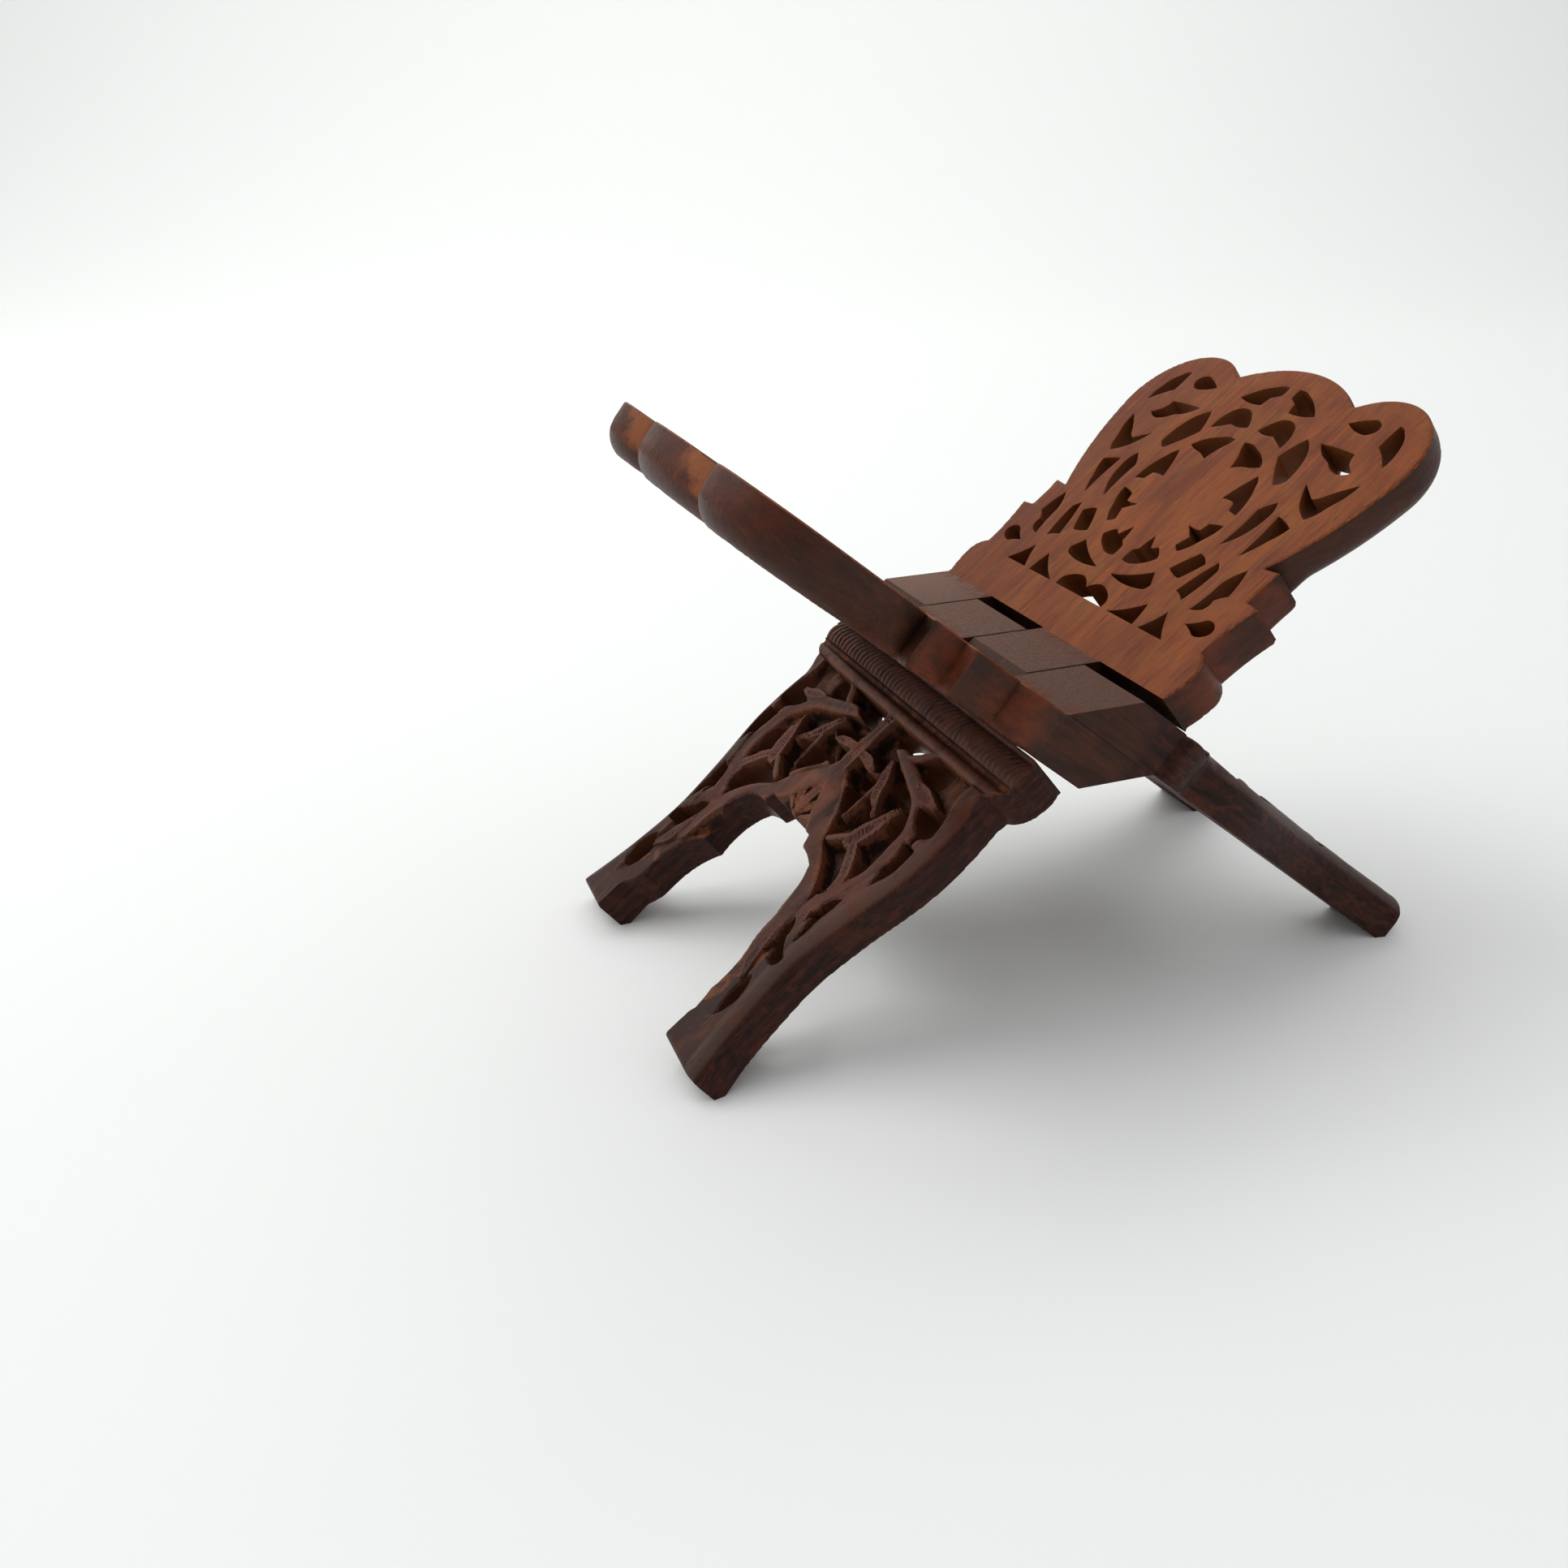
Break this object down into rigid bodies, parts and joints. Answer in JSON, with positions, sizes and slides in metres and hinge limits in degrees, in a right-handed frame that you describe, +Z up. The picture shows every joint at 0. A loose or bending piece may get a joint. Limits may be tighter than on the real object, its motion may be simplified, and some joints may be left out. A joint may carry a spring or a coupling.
{
  "type": "folding book stand",
  "caption": "X-shaped folding wooden book stand with two interlocked carved leaves, pierced panels and arched legs.",
  "frame": {"origin": "on the floor under the middle of the hinge line, the centre of the bounding box's bottom face with the stand open", "axes": "+Z up, Y along the hinge line with -Y the front side, X across the opened legs with the left leaf's book rest towards -X"},
  "size_m": [0.2942, 0.1566, 0.2046],
  "materials": {
    "left_wood": "satin, oiled carved sheesham",
    "right_wood": "satin, oiled carved sheesham"
  },
  "bodies": {
    "left": {"left_leaf": "left_wood"},
    "right": {"right_leaf": "right_wood"}
  },
  "joints": [
    {"name": "fold", "type": "hinge", "parent": "left", "child": "right", "pos_m": [0, 0, 0.10612], "axis": [0, 1, 0], "range_deg": [-103, 0]}
  ]
}
